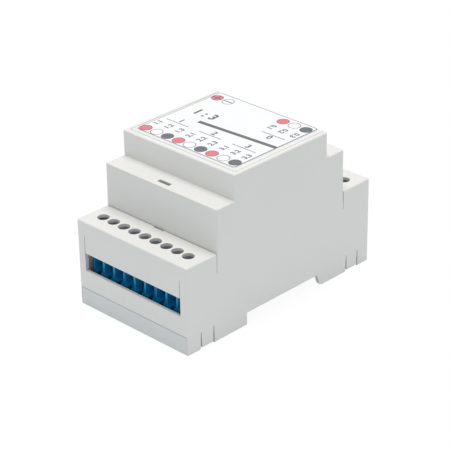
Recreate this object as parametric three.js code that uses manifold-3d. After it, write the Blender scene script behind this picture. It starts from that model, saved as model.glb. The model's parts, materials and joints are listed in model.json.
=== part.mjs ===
// Signal splitter in a stepped rail housing: one DMX input, three outputs, screw terminals.
// Millimetres, +Z up with the rail side down. X runs across the modules, Y from outputs to inputs.
import * as THREE from 'three';
import { mergeVertices } from 'three/addons/utils/BufferGeometryUtils.js';
import Module from 'manifold-3d';

const wasm = await Module();
wasm.setup();

// Poles: the outputs fill one row, which sets the housing's width
const polePitch = 5.08;
const outputCount = 3;
const signalPoles = 3;
const powerPoles = 2;
const outputPoles = outputCount * signalPoles;

// Housing and its stepped profile; the margin makes it three 17.5 mm modules wide
const rowMargin = 3.39;
const bodyWidth = outputPoles * polePitch + 2 * rowMargin;
const bodyLength = 90;
const bodyHeight = 58;
const ledgeDepth = 14;
const stepDepth = 8.5;
const ledgeHeight = 32.5;
const shoulderHeight = 48.4;
const wall = 1.5;
const crownRoof = 2.4;
const ledgeRoof = 1.2;

// Fits between pieces
const seam = 0.3;
const nestGap = 0.2;
const overrun = 1;

// Mounting rail and the recess that takes it
const railWidth = 35;
const railPlay = 0.1;
const railShift = 0.2;
const railDepth = 4.8;
const railGroove = 1.4;
const railRelief = 0.3;
const footSlope = 1.5;
const footRound = 1.2;
const footRoundRise = 0.8;
const footPocketWidth = 7;
const footPocketDepth = 5;

// Base tray, closed off at each end by a strip below the housing's end wall
const stripHeight = 6.5;
const cornerLip = 0.6;
const stripSideGap = 0.1;
const partingGap = 0.2;
const trayHeight = 9.2;
const trayLipRise = 1.5;
const hookReach = 1.8;
const hookThickness = 2.6;
const hookInset = 7.25;

// Snap tongues in the flanks
const tongueInset = 8.9;
const tongueWidth = 5.9;
const tongueHeight = 6.6;
const tongueLift = 0.8;
const slitWidth = 0.3;
const slitFlare = 0.9;
const barbReach = 0.7;
const barbLow = 2;
const barbHigh = 4;
const barbWidth = 3.2;

// Relief slits, notch and release slot around the ledges
const ledgeSlitDepth = 6.8;
const lintelSlitRise = 6.6;
const lintelSlitWidth = 0.25;
const releaseShift = -0.4;
const notchLength = 4.7;
const notchDepth = 0.5;
const slotLength = 5.5;
const slotDepth = 1.6;
const slotSetback = 2;

// Front panel, which slides in from the input end, and its printed sheet
const panelSideRim = 1.5;
const panelFrontRim = 1.9;
const panelThickness = 1.2;
const panelLip = 1.6;
const panelSetback = 0.1;
const panelCorner = 0.8;
const sheetThickness = 0.2;
const sheetSideMargin = 1.45;
const sheetFrontMargin = 1.4;
const sheetRearMargin = 0.3;
const sheetShift = -0.4;
const sheetCorner = 1.2;
const panelLegWidth = 6;
const panelLegThickness = 1;
const panelLegCatch = 0.6;
const panelLegShift = 14;

// Terminal openings
const screwInset = 6.8;
const accessHole = 4.2;
const guideGap = 4.9;
const guideRib = 0.8;
const guideDepth = 2.2;
const windowBottom = 13.7;
const windowHeight = 6.8;
const windowPlay = 0.1;
const sillDepth = 1.15;
const sillDrop = 0.9;

// Terminal block moulding
const blockRecess = 3.5;
const blockDepth = 10;
const blockHeight = 14;
const blockPlay = 0.1;
const blockTopSetback = 1.5;
const blockTopDrop = 2.4;
const partition = 1;
const entryFloor = 1.4;
const entryCorner = 1.2;
const entryCeiling = 9.8;
const cagePlay = 0.12;

// Clamp: screw, rising cage and contact bar
const threadDiameter = 2.5;
const threadPitch = 0.45;
const clampTurns = 6;
const headDiameter = 3.8;
const headHeight = 1.6;
const headBevel = 0.3;
const headSlotWidth = 0.7;
const headSlotDepth = 0.8;
const threadPlay = 0.1;
const wireGap = 3;
const cageWall = 0.5;
const cageFloor = 0.8;
const cageRoof = 1;
const cageDepth = 4.2;
const contactThickness = 0.8;
const contactSideGap = 0.36;
const contactHeight = 6.8;
const contactTail = 2.2;
const pinWidth = 0.9;
const pinThickness = 0.6;
const pinReach = 2.9;
const pinHoleDiameter = 1.4;

// Circuit board and what holds it
const boardLift = 0.4;
const boardThickness = 1.6;
const boardSideGap = 0.6;
const boardEndGap = 0.6;
const postRadius = 2.6;
const postInsetX = 5.6;
const postInsetY = 19;
const peg = 3;
const pegHead = 3.8;
const pegHeadRise = 1;
const pegPlay = 0.15;

// Rail latch
const latchHalfWidth = 5.8;
const latchRibHalfWidth = 4.1;
const latchTop = 3.1;
const latchFlangeBottom = 1.4;
const latchBottom = 0.3;
const latchNose = 1.7;
const latchTravel = 3.5;
const latchGap = 0.3;
const latchRoof = 1.5;
const latchSide = 2;
const latchStopLength = 1.6;
const latchStopWidth = 3;
const latchStopDepth = 0.8;
const latchStopInset = 12;
const pullSlotWidth = 6;
const pullSlotLength = 1.5;
const pullSlotInset = 1.6;
const springArmLength = 9;
const springArmThickness = 0.9;
const springArmInset = 4;

// Electronics
const chipLength = 4.9;
const chipWidth = 3.9;
const chipHeight = 1.45;
const chipStandoff = 0.15;
const chipSpan = 6;
const chipLeadPitch = 1.27;
const chipLeadWidth = 0.42;
const chipLeadThickness = 0.2;
const chipLeadsPerSide = 4;
const driverSetback = 3;
const receiverSetback = 6;
const regulatorWidth = 10;
const regulatorDepth = 4.4;
const regulatorHeight = 9;
const regulatorTabHeight = 6;
const regulatorTabThickness = 1.3;
const regulatorHole = 3.6;
const regulatorStandoff = 3;
const regulatorShift = [2.78, -25];
const legWidth = 0.8;
const legThickness = 0.5;
const legPitch = 2.54;
const legCount = 3;
const canRadius = 4;
const canHeight = 11.5;
const canBevel = 0.4;
const canGrooveDepth = 0.35;
const canGrooveHeight = 1.2;
const canShift = [13.78, -18];
const fuseRadius = 4;
const fuseThickness = 3;
const fuseStandoff = 1.5;
const fuseLegSpread = 5.08;
const fuseShift = [1.78, -10];

// Facets
const holeSides = 28;
const roundSides = 20;
const smallSides = 12;
const arcSteps = 8;
const cornerSteps = 4;

// Worked out once from the sizes above
const halfWidth = bodyWidth / 2;
const halfLength = bodyLength / 2;
const halfShoulder = halfLength - ledgeDepth;
const halfCrown = halfShoulder - stepDepth;
const tongueCentre = halfLength - tongueInset;
const blockRear = halfLength - blockRecess - blockDepth;
const innerHalfWidth = halfWidth - wall;
const trayHalfWidth = innerHalfWidth - nestGap;
const trayHalfLength = halfLength - wall - nestGap;
const boardUnderside = trayHeight + boardLift;
const boardTop = boardUnderside + boardThickness;
const clampTravel = threadPitch * clampTurns;
const railFront = railShift - railWidth / 2 - railPlay;
const railRear = railShift + railWidth / 2 + railPlay;
const footPocketRear = railRear + footPocketDepth;
const chamberWidth = polePitch - partition;
const cageWidth = chamberWidth - 2 * cagePlay;
const contactWidth = cageWidth - 2 * cageWall - 2 * contactSideGap;
const cageInnerFloor = contactHeight - wireGap;
const cageInnerTop = contactHeight + contactThickness + seam;
const cageBottom = cageInnerFloor - cageFloor;
const cageTop = cageInnerTop + cageRoof;
const crownHeight = bodyHeight - sheetThickness;
const panelBottom = crownHeight - panelThickness;
const panelHalfWidth = halfWidth - panelSideRim - nestGap;
const panelFrontEdge = -(halfCrown - panelFrontRim - nestGap);
const panelRearEdge = halfCrown - panelSetback;

// Three.js geometry to a solid for joining and cutting
function solid(geometry) {
  const bare = geometry.clone();
  bare.deleteAttribute('normal');
  bare.deleteAttribute('uv');
  const merged = mergeVertices(bare);
  const mesh = new wasm.Mesh({
    numProp: 3,
    vertProperties: new Float32Array(merged.attributes.position.array),
    triVerts: new Uint32Array(merged.index.array),
  });
  return new wasm.Manifold(mesh);
}

// A solid back to three.js geometry
function geometryOf(body) {
  const { vertProperties, triVerts } = body.getMesh();
  const geometry = new THREE.BufferGeometry();
  geometry.setAttribute('position', new THREE.BufferAttribute(vertProperties, 3));
  geometry.setIndex(new THREE.BufferAttribute(triVerts, 1));
  geometry.computeVertexNormals();
  return geometry;
}

// A block between two limits on each axis
function block([x0, x1], [y0, y1], [z0, z1]) {
  const box = new THREE.BoxGeometry(x1 - x0, y1 - y0, z1 - z0);
  box.translate((x0 + x1) / 2, (y0 + y1) / 2, (z0 + z1) / 2);
  return solid(box);
}

// A limit pair centred on a place
const span = (centre, width) => [centre - width / 2, centre + width / 2];
const about = (half) => [-half, half];

// An outline of [y, z] points carried along X
function alongX(points, [x0, x1]) {
  const shape = new THREE.Shape(points.map(([y, z]) => new THREE.Vector2(y, z)));
  const prism = new THREE.ExtrudeGeometry(shape, { depth: x1 - x0, bevelEnabled: false });
  const turn = new THREE.Matrix4().makeBasis(
    new THREE.Vector3(0, 1, 0), new THREE.Vector3(0, 0, 1), new THREE.Vector3(1, 0, 0));
  prism.applyMatrix4(turn);
  prism.translate(x0, 0, 0);
  return solid(prism);
}

// An outline of [x, z] points carried along Y
function alongY(points, [y0, y1]) {
  const shape = new THREE.Shape(points.map(([x, z]) => new THREE.Vector2(x, z)));
  const prism = new THREE.ExtrudeGeometry(shape, { depth: y1 - y0, bevelEnabled: false });
  const turn = new THREE.Matrix4().makeBasis(
    new THREE.Vector3(1, 0, 0), new THREE.Vector3(0, 0, 1), new THREE.Vector3(0, -1, 0));
  prism.applyMatrix4(turn);
  prism.translate(0, y1, 0);
  return solid(prism);
}

// An upright cylinder
function rod([x, y], radius, [z0, z1], sides = holeSides) {
  const cylinder = new THREE.CylinderGeometry(radius, radius, z1 - z0, sides);
  cylinder.rotateX(Math.PI / 2);
  cylinder.translate(x, y, (z0 + z1) / 2);
  return solid(cylinder);
}

// A turned piece about an upright axis, from [radius, z] points
function turned(points, [x, y] = [0, 0], sides = roundSides) {
  const profile = points.map(([r, z]) => new THREE.Vector2(r, z));
  const lathe = new THREE.LatheGeometry(profile, sides);
  lathe.rotateX(Math.PI / 2);
  lathe.translate(x, y, 0);
  return solid(lathe);
}

const join = (bodies) => bodies.reduce((sum, body) => sum.add(body));
const cut = (body, tools) => tools.reduce((rest, tool) => rest.subtract(tool), body);

// The same tool at both ends of the housing
const bothEnds = (tool) => [tool, tool.mirror([0, 1, 0])];
const bothSides = (tool) => [tool, tool.mirror([1, 0, 0])];

// Places of a row of copies, centred on zero
const evenly = (count, pitch) => Array.from({ length: count }, (_, i) => (i - (count - 1) / 2) * pitch);
const rowPlaces = (count) => evenly(count, polePitch);

// Underside of the rail recess, from the front foot to the rear foot
function railRecess() {
  return [
    [railFront, 0],
    [railFront, railDepth],
    [railRear, railDepth],
    [railRear + footSlope, footRoundRise],
    [railRear + footSlope + footRound, 0],
  ];
}

// Upper housing: flanks, ledges, shoulder and crown in one moulding
function upperHousing() {
  const profile = [
    [-halfLength, 0],
    [-halfLength, ledgeHeight],
    [-halfShoulder, ledgeHeight],
    [-halfShoulder, shoulderHeight],
    [-halfCrown, shoulderHeight],
    [-halfCrown, crownHeight],
    [halfCrown, crownHeight],
    [halfCrown, shoulderHeight],
    [halfShoulder, shoulderHeight],
    [halfShoulder, ledgeHeight],
    [halfLength, ledgeHeight],
    [halfLength, 0],
    ...railRecess().reverse(),
  ];
  const shell = cut(alongX(profile.reverse(), about(halfWidth)), hollow());
  const cuts = [
    ...panelSeat(),
    ...accessHoles(),
    ...reliefCuts().flatMap(bothEnds),
    ...tongueCuts().flatMap(bothEnds),
  ];
  const barbs = bothEnds(barb()).flatMap(bothSides);
  return join([cut(shell, cuts), ...barbs, ...screwGuides().flatMap(bothEnds)]);
}

function hollow() {
  const inside = about(innerHalfWidth);
  const below = -overrun;
  return [
    block(inside, about(halfLength - wall), [below, ledgeHeight - ledgeRoof]),
    block(inside, about(halfShoulder - wall), [below, shoulderHeight - wall]),
    block(inside, about(halfCrown - wall), [below, crownHeight - crownRoof]),
  ];
}

// A plate with its two front corners rounded, and its rear corners too if asked
function roundedPlate(half, [front, rear], [z0, z1], radius, rearRadius = 0) {
  const arc = Array.from({ length: arcSteps + 1 }, (_, i) => (Math.PI / 2) * (i / arcSteps));
  const frontCorner = arc.map((angle) => [
    half - radius + radius * Math.sin(angle),
    front + radius - radius * Math.cos(angle),
  ]);
  const rearCorner = rearRadius === 0 ? [[half, rear]] : arc.map((angle) => [
    half - rearRadius + rearRadius * Math.cos(angle),
    rear - rearRadius + rearRadius * Math.sin(angle),
  ]);
  const rightSide = [...frontCorner, ...rearCorner];
  const leftSide = rightSide.map(([x, y]) => [-x, y]).reverse();
  const outline = [...rightSide, ...leftSide];
  const shape = new THREE.Shape(outline.map(([x, y]) => new THREE.Vector2(x, y)));
  const plate = new THREE.ExtrudeGeometry(shape, { depth: z1 - z0, bevelEnabled: false });
  plate.translate(0, 0, z0);
  return solid(plate);
}

// Pocket for the front panel, open at the input end, with an opening inside its lip
function panelSeat() {
  const half = halfWidth - panelSideRim;
  const front = -(halfCrown - panelFrontRim);
  const floor = panelBottom;
  return [
    roundedPlate(half, [front, halfCrown + overrun], [floor, crownHeight + overrun], panelCorner + nestGap),
    block(about(half - panelLip), [front + panelLip, halfCrown - wall - panelLip],
      [crownHeight - crownRoof - overrun, floor + overrun]),
  ];
}

function accessHoles() {
  const level = [ledgeHeight - wall - overrun, ledgeHeight + overrun];
  const place = halfLength - screwInset;
  return rowPlaces(outputPoles).flatMap((x) => bothEnds(rod([x, place], accessHole / 2, level)));
}

// Ribs under a ledge, either side of the access holes, which guide the screwdriver
function screwGuides() {
  const row = -(halfLength - screwInset);
  const roof = ledgeHeight - ledgeRoof;
  return about((guideGap + guideRib) / 2).map((shift) => block(about(innerHalfWidth + nestGap),
    span(row + shift, guideRib), [roof - guideDepth, roof + nestGap]));
}

// Window, lap for the base strip, slits round the ledge, notch and release slot of one end
function reliefCuts() {
  const windowHalf = (outputPoles * polePitch) / 2 + windowPlay;
  const endWall = [-halfLength - overrun, -halfLength + wall + overrun];
  const lap = [-halfLength - overrun, -trayHalfLength + nestGap];
  const windowTop = windowBottom + windowHeight;
  const slitFront = -halfShoulder - slitWidth;
  const ledgeRange = [ledgeHeight - wall - overrun, ledgeHeight + overrun];
  const lintelSlit = block([windowHalf - lintelSlitWidth, windowHalf], endWall,
    [windowTop - overrun, windowTop + lintelSlitRise]);
  return [
    alongX(windowOutline(endWall), about(windowHalf)),
    block(about(halfWidth - cornerLip), lap, [-overrun, stripHeight + partingGap]),
    ...bothSides(lintelSlit),
    block(about(halfWidth + overrun), [slitFront, -halfShoulder],
      [ledgeHeight - ledgeSlitDepth, ledgeHeight + overrun]),
    block(span(releaseShift, notchLength), [slitFront - notchDepth, slitFront + nestGap], ledgeRange),
    block(span(releaseShift, slotLength), span(-halfShoulder + slotSetback + slotDepth / 2, slotDepth),
      [shoulderHeight - wall - overrun, shoulderHeight + overrun]),
  ];
}

// The window's section: a level sill that falls away behind
function windowOutline([outside, inside]) {
  const windowTop = windowBottom + windowHeight;
  return [
    [outside, windowBottom],
    [-halfLength + sillDepth, windowBottom],
    [-halfLength + wall, windowBottom - sillDrop],
    [inside, windowBottom - sillDrop],
    [inside, windowTop],
    [outside, windowTop],
  ];
}

// Two flared slits free a tongue in each flank, shorter than the foot round it
function tongueCuts() {
  const across = about(halfWidth + overrun);
  const slit = (y) => alongX([
    [y - slitFlare / 2, -overrun],
    [y + slitFlare / 2, -overrun],
    [y + slitWidth / 2, tongueHeight],
    [y - slitWidth / 2, tongueHeight],
  ], across);
  return [
    slit(-tongueCentre - tongueWidth / 2),
    slit(-tongueCentre + tongueWidth / 2),
    block(across, span(-tongueCentre, tongueWidth), [-overrun, tongueLift]),
  ];
}

// Barb on the inside of a tongue
function barb() {
  const root = innerHalfWidth + nestGap;
  const tip = innerHalfWidth - barbReach;
  const outline = [[tip, barbHigh], [root, barbHigh], [root, barbLow]];
  return alongY(outline, span(-tongueCentre, barbWidth));
}

// Base tray: floor over the rail, two hollow feet, end strips, board posts and the latch guide
function baseTray() {
  const body = join([
    alongX(trayProfile().reverse(), about(trayHalfWidth)),
    ...bothEnds(endStrip()),
    railHook(),
  ]);
  const open = cut(body, [...trayHollows(), ...railReliefs(), ...footPockets()]);
  const fitted = join([open, latchGuide(), ...boardPosts()]);
  return cut(fitted, [...barbPockets(), ...latchChannel()]).add(latchStop());
}

function trayProfile() {
  return [
    [-trayHalfLength, 0],
    [-trayHalfLength, trayHeight],
    [trayHalfLength, trayHeight],
    [trayHalfLength, 0],
    ...railRecess().reverse(),
  ];
}

function endStrip() {
  const half = halfWidth - cornerLip - stripSideGap;
  return block(about(half), [-halfLength, -trayHalfLength], [0, stripHeight])
    .add(block(about(trayHalfWidth), [-halfLength, -trayHalfLength + wall], [0, stripHeight]));
}

// Fixed hook that takes the front edge of the rail
function railHook() {
  const top = railDepth - railGroove;
  const tip = railFront + hookReach;
  return alongX([
    [railFront - nestGap, top - hookThickness],
    [tip - hookReach / 2, top - hookThickness],
    [tip, top - hookThickness / 2],
    [tip, top],
    [railFront - nestGap, top],
  ], about(halfWidth - hookInset));
}

// Shallow grooves over the hook and the latch nose, so the rail's edges clear the seat
function railReliefs() {
  const across = about(trayHalfWidth + overrun);
  const level = [railDepth - overrun, railDepth + railRelief];
  return [
    block(across, [railFront, railFront + hookReach + seam], level),
    block(across, [latchFront - seam, railRear], level),
  ];
}

function trayHollows() {
  const inside = about(trayHalfWidth - wall);
  const betweenPockets = about(trayHalfWidth - footPocketWidth - wall);
  const footTop = stripHeight - trayLipRise;
  const rearStart = railRear + footSlope + footRound + wall;
  const behindPockets = footPocketRear + wall;
  const innerEnd = trayHalfLength - wall;
  const openTop = [wall, trayHeight + overrun];
  return [
    block(inside, [-halfLength + wall, railFront - wall], [wall, footTop]),
    block(inside, [behindPockets, halfLength - wall], [wall, footTop]),
    block(inside, [-innerEnd, railFront - wall], openTop),
    block(inside, [behindPockets, innerEnd], openTop),
    block(betweenPockets, [rearStart, innerEnd], openTop),
    block(inside, about(innerEnd), [railDepth + wall, trayHeight + overrun]),
  ];
}

// Open pockets beside the latch, where the rear foot stands back from the flanks
function footPockets() {
  const across = [trayHalfWidth - footPocketWidth, trayHalfWidth + overrun];
  return bothSides(block(across, [railRear - overrun, footPocketRear], [-overrun, railDepth]));
}

function boardPosts() {
  const x = halfWidth - postInsetX;
  const y = halfLength - postInsetY;
  const post = turned([
    [0, wall / 2],
    [postRadius, wall / 2],
    [postRadius, boardUnderside],
    [peg / 2, boardUnderside],
    [peg / 2, boardTop + pegPlay],
    [pegHead / 2, boardTop + pegPlay],
    [peg / 2, boardTop + pegPlay + pegHeadRise],
    [0, boardTop + pegPlay + pegHeadRise],
  ], [x, -y], smallSides);
  return bothEnds(post).flatMap(bothSides);
}

function barbPockets() {
  const room = [barbLow - seam, barbHigh + seam];
  const depth = [trayHalfWidth - wall - overrun, trayHalfWidth + overrun];
  const pocket = block(depth, span(-tongueCentre, barbWidth + 2 * seam), room);
  return bothEnds(pocket).flatMap(bothSides);
}

// Rails and roof over the latch in the rear foot
function latchGuide() {
  const half = latchHalfWidth + latchGap + latchSide;
  const front = railRear + footSlope + footRound;
  return block(about(half), [front, halfLength - wall / 2], [0, latchTop + latchGap + latchRoof]);
}

function latchChannel() {
  const reach = [railRear - overrun, halfLength + overrun];
  const flange = [latchFlangeBottom - latchGap, latchTop + latchGap];
  return [
    block(about(latchHalfWidth + latchGap), reach, flange),
    block(about(latchRibHalfWidth + latchGap), reach, [-overrun, latchTop]),
  ];
}

const latchFront = railRear - latchNose;
const latchRear = halfLength - nestGap;
const latchStopFront = railRear + latchStopInset;

function latchStop() {
  const drop = latchStopDepth - latchGap;
  return block(span(0, latchStopWidth), [latchStopFront, latchStopFront + latchStopLength],
    [latchTop - drop, latchTop + latchGap + latchRoof / 2]);
}

// Sliding latch: T section, sloped nose, stop slot, spring arms and a slot for the screwdriver
function railLatch() {
  const flange = alongX([
    [latchFront + latchNose, latchFlangeBottom],
    [latchRear, latchFlangeBottom],
    [latchRear, latchTop],
    [latchFront, latchTop],
    [latchFront, (latchTop + latchFlangeBottom) / 2],
  ], about(latchHalfWidth));
  const ribFront = railRear + footSlope + footRound;
  const rib = block(about(latchRibHalfWidth), [ribFront, latchRear],
    [latchBottom, latchFlangeBottom + nestGap]);
  const stopSlot = block(span(0, latchStopWidth + 2 * latchGap),
    [latchStopFront - latchTravel - latchGap, latchStopFront + latchStopLength + latchGap],
    [latchTop - latchStopDepth, latchTop + overrun]);
  const armEnd = latchRear - springArmInset;
  const armGap = block([latchRibHalfWidth, latchHalfWidth - springArmThickness],
    [armEnd - springArmLength, armEnd], [-overrun, latchTop + overrun]);
  const pullSlot = block(span(0, pullSlotWidth),
    [latchRear - pullSlotInset - pullSlotLength, latchRear - pullSlotInset],
    [-overrun, latchTop + overrun]);
  return cut(flange.add(rib), [stopSlot, ...bothSides(armGap), pullSlot]);
}

// Inset panel on the crown, with two catches under the front of its opening
function frontPanel() {
  const plate = roundedPlate(panelHalfWidth, [panelFrontEdge, panelRearEdge],
    [panelBottom, crownHeight], panelCorner);
  const lipEdge = -(halfCrown - panelFrontRim) + panelLip;
  const legFront = lipEdge + nestGap;
  const legBottom = crownHeight - crownRoof - nestGap - panelLegThickness;
  const across = span(panelLegShift, panelLegWidth);
  const legRear = legFront + panelLegThickness;
  const leg = block(across, [legFront, legRear], [legBottom, panelBottom + panelThickness / 2]);
  const catchUnder = block(across, [lipEdge - panelLegCatch, legRear],
    [legBottom, legBottom + panelLegThickness]);
  return join([plate, ...bothSides(leg.add(catchUnder))]);
}

// Printed sheet on the panel
function labelSheet() {
  const limits = [panelFrontEdge + sheetFrontMargin, panelRearEdge - sheetRearMargin];
  return roundedPlate(panelHalfWidth - sheetSideMargin, limits, [crownHeight, bodyHeight],
    sheetCorner, sheetCorner).translate([sheetShift, 0, 0]);
}

// Circuit board with holes for the posts and the solder pins
function circuitBoard(pins) {
  const plate = block(about(innerHalfWidth - boardSideGap), about(halfLength - wall - boardEndGap),
    [boardUnderside, boardTop]);
  const through = [boardUnderside - overrun, boardTop + overrun];
  const postPlace = [halfWidth - postInsetX, -(halfLength - postInsetY)];
  const postHole = rod(postPlace, peg / 2 + pegPlay, through, smallSides);
  const pinHoles = pins.map((at) => rod(at, pinHoleDiameter / 2, through, arcSteps));
  return cut(plate, [...bothEnds(postHole).flatMap(bothSides), ...pinHoles]);
}

// Terminal block, face at y = 0 towards -Y, standing on z = 0
const blockFaceToScrew = screwInset - blockRecess;
const chamberFront = blockFaceToScrew - cageDepth / 2 - cagePlay;
const chamberRear = blockFaceToScrew + cageDepth / 2 + cagePlay;

function terminalBlock(poles) {
  const half = (poles * polePitch) / 2 - blockPlay;
  const body = alongX([
    [0, 0],
    [blockDepth, 0],
    [blockDepth, blockHeight - blockTopDrop],
    [blockDepth - blockTopSetback, blockHeight],
    [blockTopSetback, blockHeight],
    [0, blockHeight - blockTopDrop],
  ], about(half));
  return cut(body, rowPlaces(poles).flatMap(poleCuts));
}

// One pole: round-cornered entry under and round the cage, chamber, screw well and contact passage
function poleCuts(x) {
  const half = chamberWidth / 2;
  const entry = alongY(entryOutline(x, half), [-overrun, chamberRear]);
  const chamber = block(span(x, chamberWidth), [chamberFront, chamberRear],
    [cageBottom - seam, cageTop + clampTravel + seam]);
  const well = rod([x, blockFaceToScrew], headDiameter / 2 + blockPlay,
    [cageTop, blockHeight + overrun], roundSides);
  const tail = chamberRear + contactTail;
  const passage = block(span(x, contactWidth + 2 * nestGap), [chamberRear - nestGap, tail + nestGap],
    [-overrun, contactHeight + contactThickness + nestGap]);
  return [entry, chamber, well, passage];
}

function entryOutline(x, half) {
  const flat = half - entryCorner;
  const bottom = [-1, 1].flatMap((side) => Array.from({ length: cornerSteps + 1 }, (_, i) => {
    const angle = (Math.PI / 2) * ((side > 0 ? 1 : 0) + i / cornerSteps);
    const across = side * flat - entryCorner * Math.cos(angle);
    return [x + across, entryFloor + entryCorner * (1 - Math.sin(angle))];
  }));
  return [...bottom, [x + half, entryCeiling], [x - half, entryCeiling]];
}

// Clamp screw: upright, on its own axis, heights from the board
function clampScrew() {
  const tip = contactHeight + contactThickness + seam;
  const neck = cageTop + clampTravel + seam;
  const top = neck + headHeight;
  const shank = threadDiameter / 2;
  const body = turned([
    [0, tip],
    [shank - headBevel, tip],
    [shank, tip + headBevel],
    [shank, neck],
    [headDiameter / 2, neck],
    [headDiameter / 2, top - headBevel],
    [headDiameter / 2 - headBevel, top],
    [0, top],
  ], [0, 0], smallSides);
  const slot = block(about(headDiameter), about(headSlotWidth / 2), [top - headSlotDepth, top + overrun]);
  return cut(body, [slot]);
}

// Rising cage: a frame round the contact bar with a threaded roof, drawn raised with the clamp shut
function clampCage() {
  const body = block(span(0, cageWidth), span(0, cageDepth), [cageBottom, cageTop]);
  const mouth = block(span(0, cageWidth - 2 * cageWall), about(cageDepth), [cageInnerFloor, cageInnerTop]);
  const thread = rod([0, 0], threadDiameter / 2 + threadPlay,
    [cageInnerTop - overrun, cageTop + overrun], smallSides);
  return cut(body, [mouth, thread]).translate([0, 0, clampTravel]);
}

// Contact: a bar through the cage, bent down to a solder pin
function contactBar() {
  const tail = cageDepth / 2 + cagePlay + contactTail;
  const front = -cageDepth / 2 + cageWall;
  const half = contactWidth / 2;
  const top = contactHeight + contactThickness;
  const bar = block(about(half), [front, tail], [contactHeight, top]);
  const leg = block(about(half), [tail - contactThickness, tail], [seam, top]);
  const pin = block(span(0, pinWidth), span(tail - contactThickness / 2, pinThickness),
    [-pinReach, seam + nestGap]);
  return join([bar, leg, pin]);
}

// Small outline chip with gull-wing leads, resting on z = 0
function surfaceChip() {
  const body = block(span(0, chipLength), span(0, chipWidth),
    [chipStandoff, chipStandoff + chipHeight]);
  const kneeHeight = chipStandoff + chipHeight / 2;
  const kneeReach = (chipSpan - chipWidth) / 4;
  const half = chipSpan / 2;
  const bodyHalf = chipWidth / 2;
  const lead = (x) => alongX([
    [bodyHalf - kneeReach, kneeHeight - chipLeadThickness / 2],
    [bodyHalf + kneeReach - chipLeadThickness, kneeHeight - chipLeadThickness / 2],
    [bodyHalf + kneeReach - chipLeadThickness, 0],
    [half, 0],
    [half, chipLeadThickness],
    [bodyHalf + kneeReach, chipLeadThickness],
    [bodyHalf + kneeReach, kneeHeight + chipLeadThickness / 2],
    [bodyHalf - kneeReach, kneeHeight + chipLeadThickness / 2],
  ], span(x, chipLeadWidth));
  const places = evenly(chipLeadsPerSide, chipLeadPitch);
  return join([body, ...places.flatMap((x) => bothEnds(lead(x)))]);
}

// Upright regulator with a heat tab and three legs
function regulator() {
  const bodyTop = regulatorStandoff + regulatorHeight;
  const body = block(span(0, regulatorWidth), [0, regulatorDepth], [regulatorStandoff, bodyTop]);
  const tab = block(span(0, regulatorWidth), [0, regulatorTabThickness],
    [regulatorStandoff, bodyTop + regulatorTabHeight]);
  const hole = new THREE.CylinderGeometry(regulatorHole / 2, regulatorHole / 2, regulatorDepth, smallSides);
  hole.translate(0, 0, bodyTop + regulatorTabHeight / 2);
  const legs = evenly(legCount, legPitch).map((x) => block(
    span(x, legWidth), span(regulatorDepth / 2, legThickness), [0, regulatorStandoff + nestGap]));
  return cut(join([body, tab, ...legs]), [solid(hole)]);
}

// Electrolytic can with its rolled groove
function capacitorCan() {
  return turned([
    [0, 0],
    [canRadius - canBevel, 0],
    [canRadius, canBevel],
    [canRadius, canGrooveHeight],
    [canRadius - canGrooveDepth, canGrooveHeight + canGrooveDepth],
    [canRadius, canGrooveHeight + 2 * canGrooveDepth],
    [canRadius, canHeight - canBevel],
    [canRadius - canBevel, canHeight],
    [0, canHeight],
  ]);
}

// Resettable fuse: an upright disc on two legs
function discFuse() {
  const disc = new THREE.CylinderGeometry(fuseRadius, fuseRadius, fuseThickness, roundSides);
  disc.translate(0, 0, fuseStandoff + fuseRadius);
  const legs = about(fuseLegSpread / 2).map((x) => block(
    span(x, legThickness), span(0, legThickness), [0, fuseStandoff + fuseRadius]));
  return join([solid(disc), ...legs]);
}

// Finishes, one material for each mesh
const finishes = {
  housing: { color: 0xd8d8d4, roughness: 0.55, metalness: 0 },
  base: { color: 0xcdd0cf, roughness: 0.6, metalness: 0 },
  panel: { color: 0xe6e5df, roughness: 0.55, metalness: 0 },
  sheet: { color: 0xfbfbfd, roughness: 0.4, metalness: 0 },
  latch: { color: 0x6d7073, roughness: 0.5, metalness: 0 },
  block: { color: 0x1a5f92, roughness: 0.45, metalness: 0 },
  steel: { color: 0xb9bcc0, roughness: 0.3, metalness: 1 },
  tinned: { color: 0xc9c6bd, roughness: 0.35, metalness: 1 },
  board: { color: 0x1f5b34, roughness: 0.5, metalness: 0 },
  chip: { color: 0x1c1c1f, roughness: 0.6, metalness: 0 },
  can: { color: 0x23262c, roughness: 0.4, metalness: 0.3 },
  fuse: { color: 0xc98a1e, roughness: 0.5, metalness: 0 },
};

const splitter = new THREE.Group();

function place(name, body, finish, position = [0, 0, 0], turn = 0) {
  const mesh = new THREE.Mesh(geometryOf(body), new THREE.MeshStandardMaterial(finishes[finish]));
  mesh.name = name;
  mesh.position.set(...position);
  mesh.rotation.z = turn;
  splitter.add(mesh);
}

// Blocks from left to right: three outputs at the -Y end, power and input at the +Y end
const rowLeft = -(outputPoles * polePitch) / 2;
const rowRight = -rowLeft;
const outputs = Array.from({ length: outputCount }, (_, i) => ({
  name: `output_terminal_${i + 1}`,
  poles: signalPoles,
  centre: rowLeft + (i + 1 / 2) * signalPoles * polePitch,
  end: -1,
}));
const inputs = [
  { name: 'power_terminal', poles: powerPoles, centre: rowLeft + (powerPoles * polePitch) / 2, end: 1 },
  { name: 'input_terminal', poles: signalPoles, centre: rowRight - (signalPoles * polePitch) / 2, end: 1 },
];
const blocks = [...outputs, ...inputs];

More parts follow.
